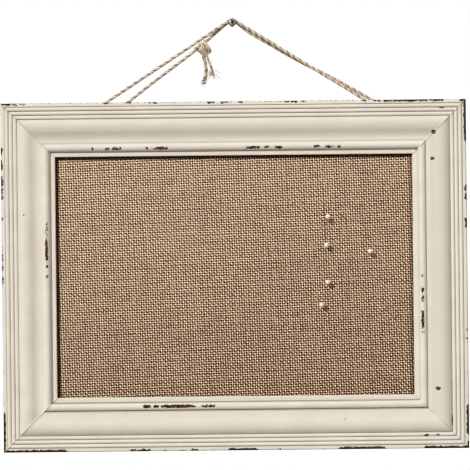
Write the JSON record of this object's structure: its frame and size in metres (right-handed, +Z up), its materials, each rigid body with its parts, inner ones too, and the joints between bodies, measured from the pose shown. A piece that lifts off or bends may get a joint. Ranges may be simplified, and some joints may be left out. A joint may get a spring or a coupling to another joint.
{
  "type": "framed pin board",
  "caption": "Wall-hung pin board: mitred moulded wooden frame round a burlap-covered cork panel with ball-head pins, hung by a twine loop on a screw.",
  "frame": {"origin": "on the wall, where the axis of the hanging screw meets it", "axes": "+X to the right along the frame, +Y into the wall, +Z up"},
  "size_m": [0.46, 0.0551, 0.4291],
  "materials": {
    "cream_paint": "matt cream paint over dark wood, worn through along the edges",
    "burlap": "plain-woven natural jute burlap",
    "cork": "pressed cork granules",
    "hardboard": "brown hardboard",
    "jute": "twisted jute twine with loose fibres",
    "pin_plastic": "glossy warm white",
    "bright_steel": "plain steel",
    "zinc_screw": "dull zinc plate",
    "rusty_brad": "rusted steel with paint in the rim"
  },
  "bodies": {
    "wall_screw": {"wall_screw": "zinc_screw"},
    "board": {"bottom_rail": "cream_paint", "brad_lower": "rusty_brad", "brad_mitre": "rusty_brad", "brad_upper": "rusty_brad", "burlap_cover": "burlap", "cork_sheet": "cork", "hanging_twine": "jute", "hardboard_back": "hardboard", "left_stile": "cream_paint", "point_bottom_1": "bright_steel", "point_bottom_2": "bright_steel", "point_left_1": "bright_steel", "point_left_2": "bright_steel", "point_right_1": "bright_steel", "point_right_2": "bright_steel", "point_top_1": "bright_steel", "point_top_2": "bright_steel", "right_stile": "cream_paint", "staple_left_lower": "bright_steel", "staple_left_upper": "bright_steel", "staple_right_loop": "bright_steel", "staple_right_pair": "bright_steel", "top_rail": "cream_paint", "twine_knot": "jute", "twine_tail_left": "jute", "twine_tail_right": "jute", "v_nail_bottom_left_inner": "bright_steel", "v_nail_bottom_left_outer": "bright_steel", "v_nail_bottom_right_inner": "bright_steel", "v_nail_bottom_right_outer": "bright_steel", "v_nail_top_left_inner": "bright_steel", "v_nail_top_left_outer": "bright_steel", "v_nail_top_right_inner": "bright_steel", "v_nail_top_right_outer": "bright_steel"},
    "pin_1": {"pin_head_1": "pin_plastic", "pin_needle_1": "bright_steel"},
    "pin_2": {"pin_head_2": "pin_plastic", "pin_needle_2": "bright_steel"},
    "pin_3": {"pin_head_3": "pin_plastic", "pin_needle_3": "bright_steel"},
    "pin_4": {"pin_head_4": "pin_plastic", "pin_needle_4": "bright_steel"},
    "pin_5": {"pin_head_5": "pin_plastic", "pin_needle_5": "bright_steel"}
  },
  "joints": [
    {"name": "board_swing", "type": "hinge", "parent": "wall_screw", "child": "board", "pos_m": [0, 0, 0.0006], "axis": [0, -1, 0], "range_deg": [-5, 5]},
    {"name": "pin_1_pull", "type": "slide", "parent": "board", "child": "pin_1", "axis": [0, -1, 0], "range_m": [0, 0.02]},
    {"name": "pin_2_pull", "type": "slide", "parent": "board", "child": "pin_2", "axis": [0, -1, 0], "range_m": [0, 0.02]},
    {"name": "pin_3_pull", "type": "slide", "parent": "board", "child": "pin_3", "axis": [0, -1, 0], "range_m": [0, 0.02]},
    {"name": "pin_4_pull", "type": "slide", "parent": "board", "child": "pin_4", "axis": [0, -1, 0], "range_m": [0, 0.02]},
    {"name": "pin_5_pull", "type": "slide", "parent": "board", "child": "pin_5", "axis": [0, -1, 0], "range_m": [0, 0.02]}
  ]
}
